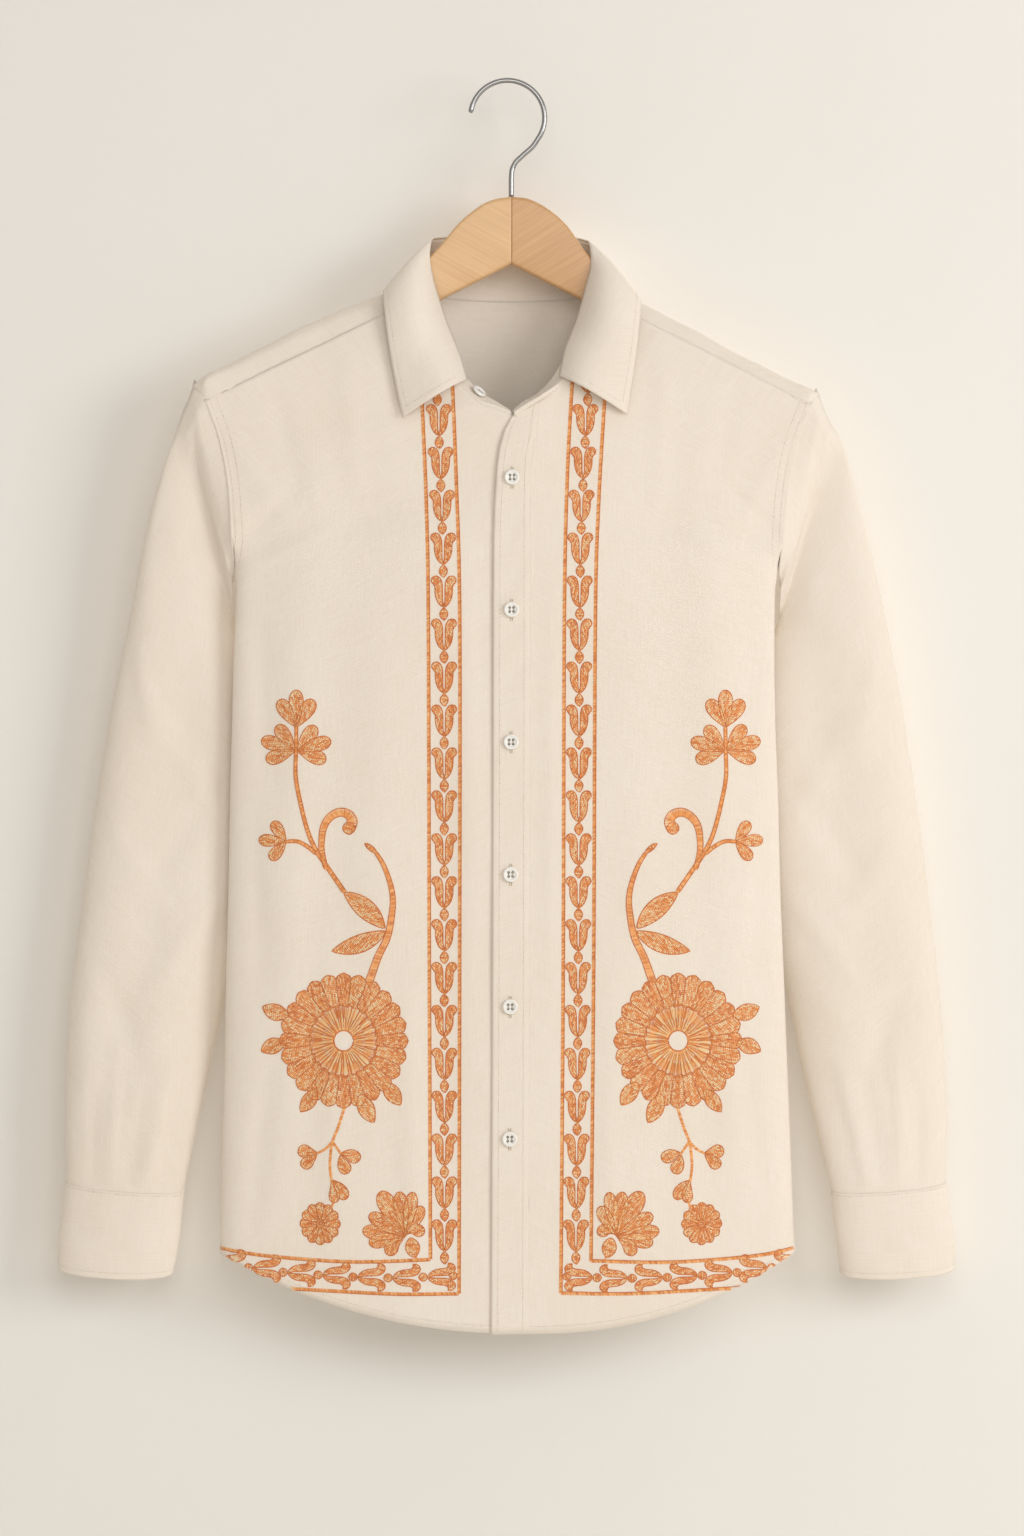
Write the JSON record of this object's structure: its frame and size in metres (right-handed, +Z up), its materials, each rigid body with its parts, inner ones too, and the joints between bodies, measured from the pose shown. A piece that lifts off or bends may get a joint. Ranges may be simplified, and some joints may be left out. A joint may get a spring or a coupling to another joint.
{
  "type": "shirt on a hanger",
  "caption": "Long-sleeved button shirt of plain cream cloth hung on a wooden hanger by its wire hook; the front, the neckline band and the hem carry stitched ornament",
  "frame": {"origin": "the seat of the hanger's hook, the inner top of its arc, where it is held by a rail", "axes": "+X to the wearer's left, the right of a front view; +Y from the front to the back; +Z up"},
  "size_m": [0.678, 0.0908, 0.9444],
  "materials": {
    "cloth": "matte cream plain weave",
    "button": "off-white, soft gloss",
    "wood": "clear satin varnish",
    "hook_wire": "bright round wire"
  },
  "bodies": {
    "root": {"front_right": "cloth", "front_left": "cloth", "placket": "cloth", "back": "cloth", "yoke": "cloth", "sleeve_right": "cloth", "sleeve_left": "cloth", "cuff_right": "cloth", "cuff_left": "cloth", "collar_stand": "cloth", "collar_leaf": "cloth", "button_1": "button", "button_2": "button", "button_3": "button", "button_4": "button", "button_5": "button", "button_6": "button", "button_collar": "button", "button_cuff_right": "button", "button_cuff_left": "button", "hanger_arm_right": "wood", "hanger_arm_left": "wood", "hanger_hook": "hook_wire"}
  },
  "joints": []
}
